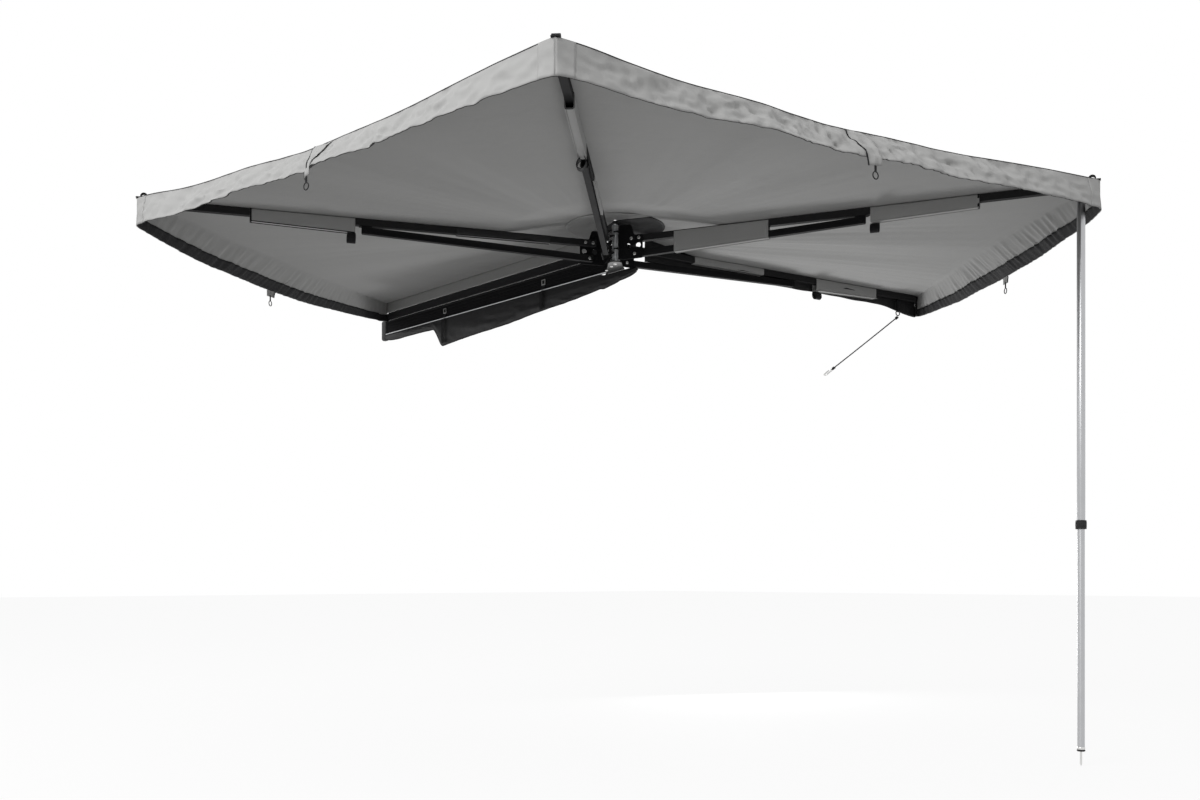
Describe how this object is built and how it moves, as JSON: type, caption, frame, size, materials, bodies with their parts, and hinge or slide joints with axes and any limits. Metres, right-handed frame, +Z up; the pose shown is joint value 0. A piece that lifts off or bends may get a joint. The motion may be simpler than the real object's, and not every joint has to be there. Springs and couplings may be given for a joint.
{
  "type": "vehicle side awning",
  "caption": "Freestanding fan awning for the side of a vehicle: hinged arms spread one canopy from a back channel, with a drop-down pole.",
  "frame": {"origin": "under the foot of the middle mount bracket, on the roof bar that it is bolted to", "axes": "+Z up, +X towards the vehicle, +Y along the channel towards the vehicle's front"},
  "size_m": [3.4222, 3.4943, 2.097],
  "materials": {
    "black_metal": "black powder coat, satin",
    "silver_metal": "bare, satin",
    "black_plastic": "moulded, fine grain",
    "grey_canvas": "coated canvas, matt",
    "sleeve_canvas": "canvas, matt",
    "black_coated_cloth": "coated cloth, slight sheen",
    "black_webbing": "woven webbing",
    "black_rope": "braided rope"
  },
  "bodies": {
    "root": {"back_channel": "black_metal", "channel_cap_rear": "black_plastic", "channel_cap_front": "black_plastic", "mount_bracket_rear": "black_metal", "mount_bracket_middle": "black_metal", "mount_bracket_front": "black_metal", "hinge_base": "silver_metal", "hinge_post": "silver_metal", "post_cap": "silver_metal", "canopy_gore_1": "grey_canvas", "canopy_apex_patch": "black_coated_cloth", "canopy_channel_band": "grey_canvas", "keder_strip": "black_coated_cloth", "cover_bag": "black_coated_cloth", "bag_strap_rear": "black_webbing", "bag_strap_front": "black_webbing", "strap_buckle_rear": "silver_metal", "strap_buckle_front": "silver_metal"},
    "arm_1": {"hinge_leaf_1": "black_metal", "rafter_1": "black_metal", "strut_1": "black_metal", "strut_clevis_1": "black_metal", "tip_cap_1": "black_plastic", "sleeve_inner_1": "sleeve_canvas", "sleeve_outer_1": "sleeve_canvas", "canopy_gore_2": "grey_canvas"},
    "arm_2": {"hinge_leaf_2": "black_metal", "rafter_2": "black_metal", "strut_2": "black_metal", "strut_clevis_2": "black_metal", "tip_cap_2": "black_plastic", "sleeve_inner_2": "sleeve_canvas", "sleeve_outer_2": "sleeve_canvas", "canopy_gore_3": "grey_canvas"},
    "arm_3": {"hinge_leaf_3": "black_metal", "rafter_3": "black_metal", "strut_3": "black_metal", "strut_clevis_3": "black_metal", "tip_cap_3": "black_plastic", "sleeve_inner_3": "sleeve_canvas", "sleeve_outer_3": "sleeve_canvas", "canopy_gore_4": "grey_canvas", "pole_bracket": "black_metal"},
    "arm_4": {"hinge_leaf_4": "black_metal", "rafter_4": "black_metal", "strut_4": "black_metal", "strut_clevis_4": "black_metal", "tip_cap_4": "black_plastic", "sleeve_inner_4": "sleeve_canvas", "sleeve_outer_4": "sleeve_canvas", "canopy_end_flap": "black_coated_cloth", "guy_loop": "black_webbing", "guy_ring": "black_plastic", "guy_rope": "black_rope", "guy_hook": "silver_metal"},
    "pole": {"pole_upper": "silver_metal"},
    "collar": {"pole_collar": "black_plastic"},
    "pole_extension": {"pole_lower": "silver_metal", "pole_foot": "black_plastic"}
  },
  "joints": [
    {"name": "arm_1_turn", "type": "hinge", "parent": "root", "child": "arm_1", "pos_m": [-0.1623, -0.9825, 0.072], "axis": [0, 0, 1], "range_deg": [-66.3, 0], "deforming": ["canopy_gore_1"]},
    {"name": "arm_2_turn", "type": "hinge", "parent": "arm_1", "child": "arm_2", "pos_m": [-0.1623, -0.9825, 0.072], "axis": [0, 0, 1], "range_deg": [-67.4, 0], "deforming": ["canopy_gore_2"]},
    {"name": "arm_3_turn", "type": "hinge", "parent": "arm_2", "child": "arm_3", "pos_m": [-0.1623, -0.9825, 0.072], "axis": [0, 0, 1], "range_deg": [-71.9, 0], "deforming": ["canopy_gore_3"]},
    {"name": "arm_4_turn", "type": "hinge", "parent": "arm_3", "child": "arm_4", "pos_m": [-0.1623, -0.9825, 0.072], "axis": [0, 0, 1], "range_deg": [-55.1, 0], "deforming": ["canopy_gore_4"]},
    {"name": "pole_fold", "type": "hinge", "parent": "arm_3", "child": "pole", "pos_m": [0.61776, -2.53816, 0.062], "axis": [-0.9018, -0.4321, 0], "range_deg": [-86, 0]},
    {"name": "collar_twist", "type": "hinge", "parent": "pole", "child": "collar", "pos_m": [0.61776, -2.53816, -1.09], "axis": [0, 0, 1], "range_deg": [0, 90]},
    {"name": "pole_slide", "type": "slide", "parent": "pole", "child": "pole_extension", "axis": [0, 0, -1], "range_m": [-0.7, 0]}
  ]
}
